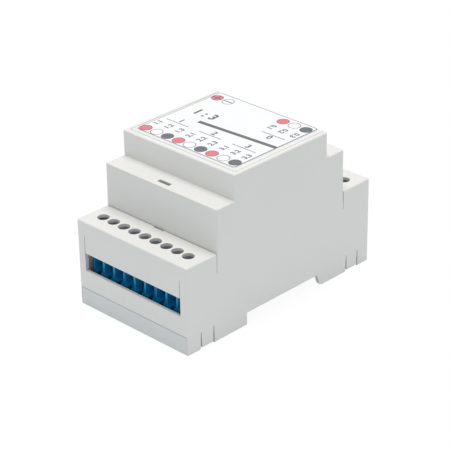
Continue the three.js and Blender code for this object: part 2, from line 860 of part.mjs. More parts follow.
// Every pole with its screw axis and the way its block faces
const polesOf = ({ name, poles: count, centre, end }) => rowPlaces(count).map((x, i) => ({
  tag: `${name.replace('_terminal', '')}_${i + 1}`,
  x: centre + x,
  y: end * (halfLength - screwInset),
  turn: end > 0 ? Math.PI : 0,
  end,
}));
const poles = blocks.flatMap(polesOf);
const pinSetback = cageDepth / 2 + cagePlay + contactTail - contactThickness / 2;
const pins = poles.map(({ x, y, end }) => [x, y - end * pinSetback]);

place('upper_housing', upperHousing(), 'housing');
place('base_tray', baseTray(), 'base');
place('rail_latch', railLatch(), 'latch');
place('front_panel', frontPanel(), 'panel');
place('label_sheet', labelSheet(), 'sheet');
place('circuit_board', circuitBoard(pins), 'board');

for (const { name, poles: count, centre, end } of blocks) {
  const face = end * (halfLength - blockRecess);
  place(name, terminalBlock(count), 'block', [centre, face, boardTop], end > 0 ? Math.PI : 0);
}
for (const { tag, x, y, turn } of poles) {
  place(`clamp_screw_${tag}`, clampScrew(), 'steel', [x, y, boardTop], turn);
  place(`clamp_cage_${tag}`, clampCage(), 'tinned', [x, y, boardTop], turn);
  place(`contact_${tag}`, contactBar(), 'tinned', [x, y, boardTop], turn);
}

// Drivers behind their outputs, the receiver behind the input, the supply behind the power poles
const driverPlace = blockRear - driverSetback - chipSpan / 2;
const receiverPlace = blockRear - receiverSetback - chipSpan / 2;
const [power, input] = inputs;
const behindPower = ([dx, dy]) => [power.centre + dx, blockRear + dy, boardTop];
outputs.forEach(({ centre }, i) => {
  place(`output_driver_${i + 1}`, surfaceChip(), 'chip', [centre, -driverPlace, boardTop]);
});
place('input_receiver', surfaceChip(), 'chip', [input.centre, receiverPlace, boardTop]);
place('voltage_regulator', regulator(), 'chip', behindPower(regulatorShift));
place('supply_capacitor', capacitorCan(), 'can', behindPower(canShift));
place('supply_fuse', discFuse(), 'fuse', behindPower(fuseShift));

export default splitter;
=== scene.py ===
import json
import math

import bmesh
import bpy
from mathutils import Matrix, Vector

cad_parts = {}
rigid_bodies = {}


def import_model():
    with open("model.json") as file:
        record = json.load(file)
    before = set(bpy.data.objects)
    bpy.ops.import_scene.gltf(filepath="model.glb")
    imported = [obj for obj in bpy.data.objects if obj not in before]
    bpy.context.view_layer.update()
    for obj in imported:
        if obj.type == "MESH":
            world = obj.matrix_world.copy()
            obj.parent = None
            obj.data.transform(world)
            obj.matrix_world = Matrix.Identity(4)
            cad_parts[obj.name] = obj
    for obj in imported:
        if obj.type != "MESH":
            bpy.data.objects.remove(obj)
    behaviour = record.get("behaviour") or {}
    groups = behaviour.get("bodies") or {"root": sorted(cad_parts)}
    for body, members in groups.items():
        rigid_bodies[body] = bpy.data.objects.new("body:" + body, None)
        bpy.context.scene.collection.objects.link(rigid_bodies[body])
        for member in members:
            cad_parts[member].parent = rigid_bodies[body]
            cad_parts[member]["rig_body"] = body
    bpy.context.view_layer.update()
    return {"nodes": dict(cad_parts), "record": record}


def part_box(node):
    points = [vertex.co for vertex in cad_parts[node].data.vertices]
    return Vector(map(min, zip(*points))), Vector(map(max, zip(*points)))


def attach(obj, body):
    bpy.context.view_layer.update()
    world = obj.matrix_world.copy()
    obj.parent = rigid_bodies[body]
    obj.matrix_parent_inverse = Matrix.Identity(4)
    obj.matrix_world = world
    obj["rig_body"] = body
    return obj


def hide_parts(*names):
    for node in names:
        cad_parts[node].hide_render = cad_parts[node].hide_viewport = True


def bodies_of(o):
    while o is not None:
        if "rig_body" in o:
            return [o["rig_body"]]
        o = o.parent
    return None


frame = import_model()

# Camera, fitted to the housing's corners in the photograph
PHOTO_PIXELS = 450
FOCAL_PIXELS = 1811.95
CAMERA_AZIMUTH = math.radians(44.7387)
CAMERA_ELEVATION = math.radians(27.3772)
CAMERA_ROLL = math.radians(-0.9638)
CAMERA_DISTANCE = 0.62673
CAMERA_TARGET = Vector((-0.000668, 0, 0.021824))
SENSOR_WIDTH = 36
CLIP_RATIO = 100

# Rounding of moulded edges
WELD_DISTANCE = 2e-6
SLIVER = 1e-6
FLAT_ANGLE = math.radians(1)
CORNER_ANGLE = math.radians(50)
SHARP_ANGLE = math.radians(31)
FACING = 0.9
LEANING = 0.1
PLANE_SLACK = 1e-5
CASE_ROUND = 0.00055
CASE_STEPS = 4
CASE_EDGE = 0.002
SKIN_AREA = 1e-5
RIM_ROUND = 0.00014
TRAY_ROUND = 0.0001
PANEL_ROUND = 0.00015
BLOCK_ROUND = 0.00016
CAGE_ROUND = 0.00012
CONTACT_ROUND = 0.00008
SMALL_STEPS = 2
EDGE_ROUNDS = 4
BLOCK_EDGE_ROUNDS = 2
ROUND_PROFILE = 0.5

# Notches in the terminal blocks' front feet
NOTCH_HALF = 0.0012
NOTCH_TOP_HALF = 0.00075
NOTCH_HEIGHT = 0.0017
NOTCH_DEPTH = 0.0019

# Printed sheet
SHEET_CORNER = 0.0012
CORNER_STEPS = 6
INK_THICKNESS = 0.00002
INK_SINK = 0.00001

# Print, measured from the middle of the sheet before it was turned a little
PRINT_TURN = math.radians(0.8)
BORDER_INSET = 0.0001
BORDER_WIDTH = 0.00026
# Moving the border's inner edge this far left widens its right side: painted shade along the sheet's
# right edge
BORDER_SHADE_SHIFT = 0.00009
LINE_WIDTH = 0.00032
DOT_RADIUS = 0.00227
DOT_LINE = 0.00024
DOT_SIDES = 40
DOT_PITCH = 0.00516
OUTPUT_DOTS = (-0.02102, -0.01774)
INPUT_DOTS = (0.01032, 0.01673)
POWER_DOTS = (-0.0204, 0.0166)
GROUP_SIZE = 3
GROUP_COUNT = 3
RED_DOT = 0
DARK_DOT = 2
OUTPUT_RULE_Y = -0.00785
INPUT_RULE_Y = 0.00605
POLE_FIGURE = 0.003
POLE_FIGURE_REACH = 0.0059
GROUP_FIGURE = 0.0036
GROUP_FIGURE_REACH = 0.002
TITLE_FIGURE = 0.0058
TITLE_PLACE = (-0.0135, 0.0034)
TITLE_RULE_START = (-0.0112, -0.0023)
TITLE_RULE_END = (0.0226, -0.0005)
TITLE_RULE_WIDTH = 0.0017
SIGN_REACH = 0.0019
SIGN_WIDTH = 0.0005
GLYPH_WEIGHT = 0.03
GLYPH_STEPS = 4
GLYPH_WELD = 1e-4

# Clamp screws
HEAD_HEIGHT = 0.0016
HEAD_EDGE = 0.0003
HEAD_SIDES = 40
SLOT_WIDTH = 0.0007
SLOT_DEPTH = 0.0008
THREAD_CREST = 0.00125
THREAD_ROOT = 0.00098
THREAD_PITCH = 0.00045
THREAD_SIDES = 20
THREAD_ROWS = 6

# Electronics
CHIP_BODY = (0.0049, 0.0039, 0.00145)
CHIP_STANDOFF = 0.00015
CHIP_ROUND = 0.00012
CHIP_DIMPLE = 0.00035
CHIP_DIMPLE_PLACE = (-0.0017, -0.0012)
CHIP_DIMPLE_DEPTH = 0.00008
LEAD_PITCH = 0.00127
LEAD_WIDTH = 0.00042
LEAD_THICKNESS = 0.0002
LEADS_PER_SIDE = 4
LEAD_ROUND = 0.00005
REGULATOR_BODY = 0.009
REGULATOR_TAB = 0.0013
REGULATOR_STANDOFF = 0.003
TAB_HOLE = 0.0018
LEG_PITCH = 0.00254
LEG_WIDTH = 0.0008
LEG_THICKNESS = 0.0005
CAN_EDGE = 0.0005
GROOVE_HEIGHT = 0.0016
GROOVE_DEPTH = 0.00035
SLEEVE_SHARE = 0.84
VENT_DEPTH = 0.00015
VENT_WIDTH = 0.0002
VENT_SHARE = 0.75
JOINT_RADIUS = 0.0011
JOINT_HEIGHT = 0.0009
JOINT_SHARES = (1, 0.8, 0.6, 0.45, 0.35)
JOINT_SIDES = 16
PIN_INSET = 0.0004
PASSIVE_SIZE = (0.002, 0.00125, 0.0006)
PASSIVE_CAP_SHARE = 0.2
PASSIVE_SETBACKS = (0.0022, 0.0046)
PASSIVE_SPREAD = (-0.0032, 0, 0.0032)

# Surfaces: scales count the features in a metre, depths are in metres, spreads are shares
TONE_SCALE = 55
TONE_DETAIL = 4
GLOSS_SCALE = 160
GLOSS_DETAIL = 5
GLOSS_SPREAD = 0.06
GRAIN_SCALE = 4200
GRAIN_DETAIL = 2
GRAIN_DEPTH = 6e-6
TARNISH_SCALE = 700
METAL_DETAIL = 3
LINE_GLOSS = (-0.08, 0.12)
LINE_DEPTH = 2e-6

# Socket numbers of the colour mix node
MIX_FACTOR = 0
MIX_FIRST = 6
MIX_SECOND = 7
MIX_RESULT = 2

# Light and floor
WORLD_STRENGTH = 0.73
WORLD_COLOUR = (0.905, 0.943, 1.0)
LAMP_PLACE = (0, 0, 1)
LAMP_SIZE = (0.5, 0.5)
LAMP_POWER = 6.1
LAMP_COLOUR = (1.0, 0.948, 0.913)
FLOOR_SIZE = 3
FLOOR_SHARE = 0.06
FLOOR_COLOUR = (0.86, 0.87, 0.88, 1)


def linear(red, green, blue):
    """A colour given as 0 to 255 display values, in linear light by the sRGB curve."""
    def channel(value):
        share = value / 255
        return share / 12.92 if share <= 0.04045 else ((share + 0.055) / 1.055) ** 2.4
    return (channel(red), channel(green), channel(blue), 1.0)


class Finish:
    """A procedural material, built node by node around one Principled shader."""

    def __init__(self, name, roughness, metallic=0.0):
        self.material = bpy.data.materials.new(name)
        self.material.use_nodes = True
        self.tree = self.material.node_tree
        self.shader = self.tree.nodes["Principled BSDF"]
        self.shader.inputs["Roughness"].default_value = roughness
        self.shader.inputs["Metallic"].default_value = metallic
        self.place = self.node("TexCoord").outputs["Object"]

    def node(self, kind, links=None, values=None, **settings):
        """A new node with the given settings, input values and links into its inputs."""
        made = self.tree.nodes.new("ShaderNode" + kind)
        for name, value in settings.items():
            setattr(made, name, value)
        for name, value in (values or {}).items():
            made.inputs[name].default_value = value
        for name, socket in (links or {}).items():
            self.tree.links.new(socket, made.inputs[name])
        return made

    def feed(self, name, socket):
        self.tree.links.new(socket, self.shader.inputs[name])

    def stretched(self, scale):
        """The object's own coordinates, scaled differently along each axis."""
        mapping = self.node("Mapping", links={"Vector": self.place}, values={"Scale": scale})
        return mapping.outputs["Vector"]

    def noise(self, scale, detail, place=None):
        made = self.node("TexNoise", links={"Vector": place or self.place},
                         values={"Scale": scale, "Detail": detail})
        return made.outputs["Fac"]

    def between(self, socket, low, high):
        made = self.node("MapRange", links={"Value": socket}, values={"To Min": low, "To Max": high})
        return made.outputs["Result"]

    def mixed(self, factor, first, second):
        """The socket of a colour between two colours."""
        made = self.node("Mix", data_type="RGBA")
        self.tree.links.new(factor, made.inputs[MIX_FACTOR])
        made.inputs[MIX_FIRST].default_value = first
        made.inputs[MIX_SECOND].default_value = second
        return made.outputs[MIX_RESULT]

    def bump(self, height, distance):
        made = self.node("Bump", links={"Height": height}, values={"Distance": distance, "Strength": 1})
        self.feed("Normal", made.outputs["Normal"])


def plastic(name, colour, shade, roughness, grain=GRAIN_SCALE, grain_depth=GRAIN_DEPTH):
    """Moulded plastic: a fine spark-eroded grain, slow changes of tone and uneven gloss."""
    finish = Finish(name, roughness)
    tone = finish.noise(TONE_SCALE, TONE_DETAIL)
    finish.feed("Base Color", finish.mixed(tone, linear(*colour), linear(*shade)))
    gloss = finish.noise(GLOSS_SCALE, GLOSS_DETAIL)
    finish.feed("Roughness", finish.between(gloss, roughness - GLOSS_SPREAD, roughness + GLOSS_SPREAD))
    finish.bump(finish.noise(grain, GRAIN_DETAIL), grain_depth)
    return finish.material


def metal(name, colour, shade, roughness, stretch):
    """Plated metal with fine drawn lines, set by the scale of its noise along each axis."""
    finish = Finish(name, roughness, metallic=1.0)
    lines = finish.noise(1.0, METAL_DETAIL, finish.stretched(stretch))
    tarnish = finish.noise(TARNISH_SCALE, METAL_DETAIL)
    finish.feed("Base Color", finish.mixed(tarnish, linear(*colour), linear(*shade)))
    least, most = LINE_GLOSS
    finish.feed("Roughness", finish.between(lines, roughness + least, roughness + most))
    finish.bump(lines, LINE_DEPTH)
    return finish.material


# Name, lighter and darker colour, roughness, then a plastic's grain or a metal's noise scales
MATERIALS = {
    "housing": plastic("housing_plastic", (217, 217, 213), (213, 213, 209), 0.46),
    "base": plastic("base_plastic", (207, 210, 208), (203, 206, 204), 0.5),
    "latch": plastic("latch_plastic", (96, 99, 102), (88, 91, 94), 0.45),
    "panel": plastic("panel_plastic", (219, 218, 213), (216, 215, 210), 0.42),
    "label": plastic("label_film", (227, 228, 231), (224, 225, 228), 0.35, 900, 1e-6),
    "board": plastic("solder_resist", (22, 92, 52), (16, 76, 42), 0.3, 1500, 4e-6),
    "terminal": plastic("blue_nylon", (28, 152, 207), (22, 143, 196), 0.24, 5200, 2e-6),
    "chip": plastic("moulding_compound", (30, 30, 33), (24, 24, 27), 0.55, 6000, 6e-6),
    "regulator": plastic("regulator_compound", (32, 32, 35), (26, 26, 29), 0.5, 6000, 6e-6),
    "capacitor": plastic("capacitor_sleeve", (24, 30, 44), (19, 24, 38), 0.28, 1800, 3e-6),
    "fuse": plastic("dipped_coating", (205, 140, 34), (190, 124, 26), 0.35, 1500, 8e-6),
    "screw": metal("zinc_plate", (158, 161, 166), (134, 138, 144), 0.34, (300, 300, 4000)),
    "cage": metal("nickel_plate", (206, 202, 192), (184, 180, 170), 0.3, (6000, 500, 500)),
    "contact": metal("tin_plate", (214, 210, 202), (190, 186, 178), 0.34, (500, 6000, 500)),
    "heat_tab": metal("tinned_copper", (200, 198, 192), (176, 172, 166), 0.3, (400, 400, 5000)),
    "can_top": metal("spun_aluminium", (222, 224, 228), (204, 206, 210), 0.25, (3000, 3000, 300)),
    "solder": metal("solder", (204, 206, 210), (182, 184, 190), 0.22, (900, 900, 900)),
    "ceramic": plastic("ceramic_body", (150, 122, 92), (134, 108, 82), 0.4, 3000, 3e-6),
    "red_ink": plastic("red_ink", (211, 109, 112), (206, 103, 106), 0.4, 2500, 5e-7),
    "dark_ink": plastic("dark_ink", (88, 92, 99), (82, 86, 93), 0.4, 2500, 5e-7),
}
SLOTS = {row["node"]: row["material_slot"] for row in frame["record"]["subparts"]}


def placed(data, name, body, place=(0, 0, 0), turn=0.0, nodes=()):
    """A piece from finished mesh data, which rides on a body and may stand for nodes."""
    piece = bpy.data.objects.new(name, data)
    piece.location = place
    piece.rotation_euler.z = turn
    bpy.context.scene.collection.objects.link(piece)
    modifier = piece.modifiers.new("even shading", "WEIGHTED_NORMAL")
    modifier.keep_sharp = True
    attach(piece, body)
    if nodes:
        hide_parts(*nodes)
    return piece


def mesh_data(mesh, name, material):
    """Finished mesh data from a bmesh, without slivers, smooth except at its sharp edges."""
    bmesh.ops.dissolve_degenerate(mesh, dist=SLIVER, edges=mesh.edges)
    for face in mesh.faces:
        face.smooth = True
    for edge in mesh.edges:
        edge.smooth = edge.is_manifold and edge.calc_face_angle(0) < SHARP_ANGLE
    data = bpy.data.meshes.new(name)
    mesh.to_mesh(data)
    mesh.free()
    data.materials.append(material)
    return data


def body_of(node):
    """The name of the body that a CAD node belongs to."""
    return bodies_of(frame["nodes"][node])[0]


def merged_copy(node):
    """A CAD node's mesh, welded and with its flat faces merged."""
    mesh = bmesh.new()
    mesh.from_mesh(frame["nodes"][node].data)
    bmesh.ops.remove_doubles(mesh, verts=mesh.verts, dist=WELD_DISTANCE)
    bmesh.ops.dissolve_limit(mesh, angle_limit=FLAT_ANGLE, verts=mesh.verts, edges=mesh.edges)
    return mesh


def bevel(mesh, edges, width, steps, **settings):
    bmesh.ops.bevel(mesh, geom=edges, offset=width, offset_type="OFFSET", segments=steps,
                    profile=ROUND_PROFILE, affect="EDGES", **settings)


def round_edges(mesh, chosen, width, steps):
    """Rounds the outward corners that pass a test."""
    edges = [edge for edge in mesh.edges if edge.is_manifold and edge.is_convex
             and edge.calc_face_angle(0) > CORNER_ANGLE and chosen(edge)]
    bevel(mesh, edges, width, steps, clamp_overlap=False, loop_slide=True)
    mesh.normal_update()


def softened(node, name, rounds, tool=None):
    """Stands for a CAD node, within its box: edges rounded by (test, width, steps), then cut."""
    mesh = merged_copy(node)
    for chosen, width, steps in rounds:
        round_edges(mesh, chosen, width, steps)
    if tool is not None:
        mesh = cut_mesh(mesh, tool)
    low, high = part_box(node)
    for vert in mesh.verts:
        vert.co = [min(max(vert.co[i], low[i]), high[i]) for i in range(3)]
    slot = SLOTS[node]
    return placed(mesh_data(mesh, name, MATERIALS[slot]), name, body_of(node), nodes=[node])


def all_rounded(width, least=EDGE_ROUNDS):
    """Rounds every edge that is at least so many times as long as its rounding is wide."""
    return [(lambda edge: edge.calc_length() > least * width, width, SMALL_STEPS)]


def is_turned(node):
    """True for the parts of the input end, which face the other way."""
    low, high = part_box(node)
    return low.y + high.y > 0


def nodes_named(start):
    """The CAD nodes whose names begin alike, in the record's order."""
    return [node for node in SLOTS if node.startswith(start)]


def ring(mesh, radius, height, sides, centre=(0, 0)):
    """One closed row of vertices; radius may be a function of the angle."""
    row = []
    for side in range(sides):
        angle = math.tau * side / sides
        reach = radius(angle) if callable(radius) else radius
        row.append(mesh.verts.new((centre[0] + reach * math.cos(angle),
                                   centre[1] + reach * math.sin(angle), height)))
    return row


def bridge(mesh, rows):
    """Quads between rows of vertices that follow one another."""
    for lower, upper in zip(rows, rows[1:]):
        count = len(lower)
        for i in range(count):
            after = (i + 1) % count
            mesh.faces.new((lower[i], lower[after], upper[after], upper[i]))


def cap(mesh, row, down=False):
    """A flat fan that closes a row, facing up or down."""
    middle = mesh.verts.new(sum((vert.co for vert in row), Vector()) / len(row))
    for i, vert in enumerate(row):
        after = row[(i + 1) % len(row)]
        mesh.faces.new((after, vert, middle) if down else (vert, after, middle))


def turn_points(steps, start, end):
    """Points on a unit circle from one angle to another, as (across, along)."""
    for step in range(steps + 1):
        angle = start + (end - start) * step / steps
        yield math.cos(angle), math.sin(angle)


def turned_body(profile, sides, centre=(0, 0)):
    """A closed body of revolution from (radius, height) pairs that run upwards."""
    mesh = bmesh.new()
    rows = [ring(mesh, radius, height, sides, centre) for radius, height in profile]
    bridge(mesh, rows)
    cap(mesh, rows[0], down=True)
    cap(mesh, rows[-1])
    return mesh


def box_mesh(low, high):
    """A box between two opposite corners."""
    mesh = bmesh.new()
    bmesh.ops.create_cube(mesh, size=1)
    low, high = Vector(low), Vector(high)
    bmesh.ops.scale(mesh, vec=high - low, verts=mesh.verts)
    bmesh.ops.translate(mesh, vec=(low + high) / 2, verts=mesh.verts)
    return mesh


def rounded_box(low, high, width):
    mesh = box_mesh(low, high)
    bevel(mesh, mesh.edges[:], width, SMALL_STEPS, clamp_overlap=True)
    return mesh


def add_mesh(target, addition, place=(0, 0, 0)):
    """Adds one bmesh to another as a further closed shell."""
    bmesh.ops.translate(addition, vec=place, verts=addition.verts)
    data = bpy.data.meshes.new("passing")
    addition.to_mesh(data)
    addition.free()
    target.from_mesh(data)
    bpy.data.meshes.remove(data)


def cut_mesh(mesh, tool):
    """Cuts one bmesh by another with the exact boolean, and returns the result."""
    made = []
    for part in (mesh, tool):
        data = bpy.data.meshes.new("passing")
        part.to_mesh(data)
        part.free()
        made.append(bpy.data.objects.new("passing", data))
        bpy.context.scene.collection.objects.link(made[-1])
    modifier = made[0].modifiers.new("cut", "BOOLEAN")
    modifier.operation = "DIFFERENCE"
    modifier.solver = "EXACT"
    modifier.object = made[1]
    shown = made[0].evaluated_get(bpy.context.evaluated_depsgraph_get())
    result = bmesh.new()
    result.from_mesh(shown.to_mesh())
    for part in made:
        data = part.data
        bpy.data.objects.remove(part)
        bpy.data.meshes.remove(data)
    return result


def add_prism(mesh, outline, low, high, hole=None):
    """A closed prism over an outline, or between an outline and a hole with as many points."""
    rows = [[mesh.verts.new((x, y, height)) for x, y in outline] for height in (low, high)]
    bridge(mesh, rows)
    if hole is None:
        mesh.faces.new(rows[0][::-1])
        mesh.faces.new(rows[1])
        return
    inner = [[mesh.verts.new((x, y, height)) for x, y in hole] for height in (low, high)]
    bridge(mesh, inner[::-1])
    bridge(mesh, [rows[1], inner[1]])
    bridge(mesh, [inner[0], rows[0]])


# Housing
case_low, case_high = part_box("upper_housing")


def on_skin(face):
    """True for the housing's outer faces, which look away from its middle."""
    centre = face.calc_center_bounds()
    if abs(face.normal.x) > FACING:
        return abs(abs(centre.x) - case_high.x) < PLANE_SLACK
    if face.normal.z > FACING:
        return centre.z > case_high.z / 2 and face.calc_area() > SKIN_AREA
    if face.normal.z < -FACING:
        return centre.z < PLANE_SLACK
    return face.normal.y * centre.y > 0 and face.calc_area() > SKIN_AREA


def case_edge(edge):
    return edge.calc_length() > CASE_EDGE and all(on_skin(face) for face in edge.link_faces)


def is_turning(face):
    """True for the faces of the access holes, which lean between X and Y."""
    across = min(abs(face.normal.x), abs(face.normal.y))
    return abs(face.normal.z) < LEANING and across > LEANING / 2


def rim_edge(edge):
    """True for the upper rims of the access holes."""
    tops = [face for face in edge.link_faces if face.normal.z > FACING]
    return len(tops) == 1 and any(is_turning(face) for face in edge.link_faces)


softened("upper_housing", "housing_shell",
         [(case_edge, CASE_ROUND, CASE_STEPS), (rim_edge, RIM_ROUND, SMALL_STEPS)])
softened("base_tray", "base_shell", all_rounded(TRAY_ROUND))
softened("rail_latch", "sliding_latch", all_rounded(TRAY_ROUND))
softened("front_panel", "crown_panel", all_rounded(PANEL_ROUND))


# Terminals
def notch_tool(node):
    """Tapered prisms that open a terminal block's front foot under each of its wire entries."""
    low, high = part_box(node)
    face = high.y if is_turned(node) else low.y
    right = [(NOTCH_HALF, -NOTCH_HEIGHT), (NOTCH_HALF, 0), (NOTCH_TOP_HALF, NOTCH_HEIGHT)]
    left = [(-across, up) for across, up in reversed(right)]
    tool = bmesh.new()
    for screw in nodes_named("clamp_screw"):
        screw_low, screw_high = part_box(screw)
        middle = (screw_low.x + screw_high.x) / 2
        if is_turned(screw) == is_turned(node) and low.x < middle < high.x:
            prism = bmesh.new()
            add_prism(prism, right + left, -NOTCH_DEPTH, NOTCH_DEPTH)
            bmesh.ops.rotate(prism, matrix=Matrix.Rotation(math.pi / 2, 3, "X"), verts=prism.verts)
            add_mesh(tool, prism, place=(middle, face, low.z))
    return tool


for node in nodes_named("output_terminal") + ["power_terminal", "input_terminal"]:
    softened(node, f"{node}_block", all_rounded(BLOCK_ROUND, BLOCK_EDGE_ROUNDS), notch_tool(node))
for node in nodes_named("clamp_cage"):
    softened(node, f"{node}_plated", all_rounded(CAGE_ROUND))
for node in nodes_named("contact"):
    softened(node, f"{node}_plated", all_rounded(CONTACT_ROUND))


# Clamp screws: a slotted cheese head over a cut thread, all from one mesh
def thread_radius(height, top):
    """The thread's radius round the shank at a height, fading out under the head and at the tip."""
    depth = THREAD_CREST - THREAD_ROOT
    fade = min(1, height / THREAD_PITCH, (top - height) / THREAD_PITCH)

    def radius(angle):
        phase = (height / THREAD_PITCH - angle / math.tau) % 1
        return THREAD_ROOT + depth * fade * (1 - abs(2 * phase - 1))
    return radius


def screw_mesh(length, head_radius):
    """A screw from z = 0 at its tip up to its slotted head."""
    mesh = bmesh.new()
    neck = length - HEAD_HEIGHT
    step = THREAD_PITCH / THREAD_ROWS
    rows = [ring(mesh, thread_radius(i * step, neck), i * step, THREAD_SIDES)
            for i in range(math.floor(neck / step) + 1)]
    rows.append(ring(mesh, THREAD_ROOT, neck + step, THREAD_SIDES))
    bridge(mesh, rows)
    cap(mesh, rows[0], down=True)
    cap(mesh, rows[-1])
    edge = [(head_radius - HEAD_EDGE + HEAD_EDGE * across, length - HEAD_EDGE + HEAD_EDGE * along)
            for across, along in turn_points(CORNER_STEPS, 0, math.pi / 2)]
    under = [(head_radius - HEAD_EDGE / 2, neck), (head_radius, neck + HEAD_EDGE / 2)]
    head = turned_body(under + edge, HEAD_SIDES)
    slot = box_mesh((-2 * head_radius, -SLOT_WIDTH / 2, length - SLOT_DEPTH),
                    (2 * head_radius, SLOT_WIDTH / 2, length + SLOT_DEPTH))
    add_mesh(mesh, cut_mesh(head, slot))
    return mesh


def make_screws():
    nodes = nodes_named("clamp_screw")
    low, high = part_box(nodes[0])
    mesh = screw_mesh(high.z - low.z, (high.x - low.x) / 2)
    data = mesh_data(mesh, "clamp_screw", MATERIALS["screw"])
    for node in nodes:
        low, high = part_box(node)
        middle = (low + high) / 2
        turn = math.pi if is_turned(node) else 0
        place = (middle.x, middle.y, low.z)
        placed(data, f"{node}_threaded", body_of(node), place, turn, [node])


make_screws()


# Electronics on the board
board_low, board_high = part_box("circuit_board")


def gull_wing(reach):
    """One lead on the +Y side of a chip: out of the body, down, and out again along the board."""
    _, width, height = CHIP_BODY
    knee = CHIP_STANDOFF + height / 2
    bend = (reach + width / 2) / 2
    path = [(width / 2 - LEAD_THICKNESS, knee), (bend - LEAD_THICKNESS, knee),
            (bend, LEAD_THICKNESS / 2), (reach, LEAD_THICKNESS / 2)]
    mesh = bmesh.new()
    rows = []
    for i, (along, up) in enumerate(path):
        before, after = path[max(i - 1, 0)], path[min(i + 1, len(path) - 1)]
        lean = Vector((after[0] - before[0], after[1] - before[1])).normalized() * LEAD_THICKNESS / 2
        rows.append([mesh.verts.new((side * LEAD_WIDTH / 2, along - face * lean.y, up + face * lean.x))
                     for side, face in ((-1, -1), (1, -1), (1, 1), (-1, 1))])
    bridge(mesh, rows)
    mesh.faces.new(rows[0][::-1])
    mesh.faces.new(rows[-1])
    bmesh.ops.recalc_face_normals(mesh, faces=mesh.faces)
    return mesh


def chip_body():
    """The moulded body, with the dimple that marks its first lead."""
    length, width, height = CHIP_BODY
    top = CHIP_STANDOFF + height
    body = rounded_box((-length / 2, -width / 2, CHIP_STANDOFF), (length / 2, width / 2, top),
                       CHIP_ROUND)
    profile = [(CHIP_DIMPLE, top - CHIP_DIMPLE_DEPTH), (CHIP_DIMPLE, top + CHIP_DIMPLE_DEPTH)]
    return cut_mesh(body, turned_body(profile, JOINT_SIDES, CHIP_DIMPLE_PLACE))


def make_chips():
    nodes = nodes_named("output_driver") + ["input_receiver"]
    low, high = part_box(nodes[0])
    leads = bmesh.new()
    for lead in range(LEADS_PER_SIDE):
        for side in (0, math.pi):
            wing = gull_wing((high.y - low.y) / 2)
            bmesh.ops.rotate(wing, matrix=Matrix.Rotation(side, 3, "Z"), verts=wing.verts)
            add_mesh(leads, wing, place=((lead - (LEADS_PER_SIDE - 1) / 2) * LEAD_PITCH, 0, 0))
    body_data = mesh_data(chip_body(), "chip_body", MATERIALS["chip"])
    lead_data = mesh_data(leads, "chip_leads", MATERIALS["contact"])
    for node in nodes:
        low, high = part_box(node)
        place = ((low.x + high.x) / 2, (low.y + high.y) / 2, low.z)
        placed(body_data, f"{node}_body", body_of(node), place, nodes=[node])
        placed(lead_data, f"{node}_leads", body_of(node), place, nodes=[node])


def make_regulator():
    """Moulded body in front of a drilled heat tab, on three legs."""
    node = "voltage_regulator"
    low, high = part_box(node)
    middle = (low + high) / 2
    base = low.z + REGULATOR_STANDOFF
    body = rounded_box((low.x, low.y + REGULATOR_TAB / 2, base),
                       (high.x, high.y, base + REGULATOR_BODY), 2 * CHIP_ROUND)
    placed(mesh_data(body, "regulator_body", MATERIALS["regulator"]), "regulator_body",
           body_of(node), nodes=[node])
    tab = rounded_box((low.x + CHIP_ROUND, low.y, base + CHIP_ROUND),
                      (high.x - CHIP_ROUND, low.y + REGULATOR_TAB, high.z), CHIP_ROUND)
    hole = turned_body([(TAB_HOLE, -REGULATOR_TAB), (TAB_HOLE, 2 * REGULATOR_TAB)], HEAD_SIDES)
    bmesh.ops.rotate(hole, matrix=Matrix.Rotation(-math.pi / 2, 3, "X"), verts=hole.verts)
    hole_place = (middle.x, low.y, (base + REGULATOR_BODY + high.z) / 2)
    bmesh.ops.translate(hole, vec=hole_place, verts=hole.verts)
    metal_parts = cut_mesh(tab, hole)
    for leg in (-1, 0, 1):
        across = middle.x + leg * LEG_PITCH
        leg_low = (across - LEG_WIDTH / 2, middle.y - LEG_THICKNESS / 2, low.z)
        leg_high = (across + LEG_WIDTH / 2, middle.y + LEG_THICKNESS / 2, base + CHIP_ROUND)
        add_mesh(metal_parts, rounded_box(leg_low, leg_high, LEAD_ROUND))
    placed(mesh_data(metal_parts, "regulator_tab", MATERIALS["heat_tab"]), "regulator_tab",
           body_of(node), nodes=[node])


def make_capacitor():
    """A sleeved can: rolled groove, sleeve drawn over the rim, and a metal top with its vent cross."""
    node = "supply_capacitor"
    low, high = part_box(node)
    centre = ((low.x + high.x) / 2, (low.y + high.y) / 2)
    radius, height = (high.x - low.x) / 2, high.z - low.z
    rim = radius * SLEEVE_SHARE
    rise = [(radius - CAN_EDGE + CAN_EDGE * across, height - CAN_EDGE + CAN_EDGE * along)
            for across, along in turn_points(CORNER_STEPS, 0, math.pi / 2)]
    profile = [(radius - CAN_EDGE, 0), (radius, CAN_EDGE), (radius, GROOVE_HEIGHT - GROOVE_DEPTH),
               (radius - GROOVE_DEPTH, GROOVE_HEIGHT), (radius, GROOVE_HEIGHT + GROOVE_DEPTH), *rise,
               (rim, height), (rim, height - 2 * VENT_DEPTH)]
    sleeve = turned_body(profile, HEAD_SIDES)
    top = turned_body([(rim, height - 3 * VENT_DEPTH), (rim, height - VENT_DEPTH)], HEAD_SIDES)
    for turn in (0, math.pi / 2):
        vent = box_mesh((-rim * VENT_SHARE, -VENT_WIDTH / 2, height - 2 * VENT_DEPTH),
                        (rim * VENT_SHARE, VENT_WIDTH / 2, height))
        bmesh.ops.rotate(vent, matrix=Matrix.Rotation(turn, 3, "Z"), verts=vent.verts)
        top = cut_mesh(top, vent)
    for name, mesh, finish in (("capacitor_sleeve", sleeve, "capacitor"),
                               ("capacitor_top", top, "can_top")):
        placed(mesh_data(mesh, name, MATERIALS[finish]), name, body_of(node),
               (*centre, low.z), nodes=[node])


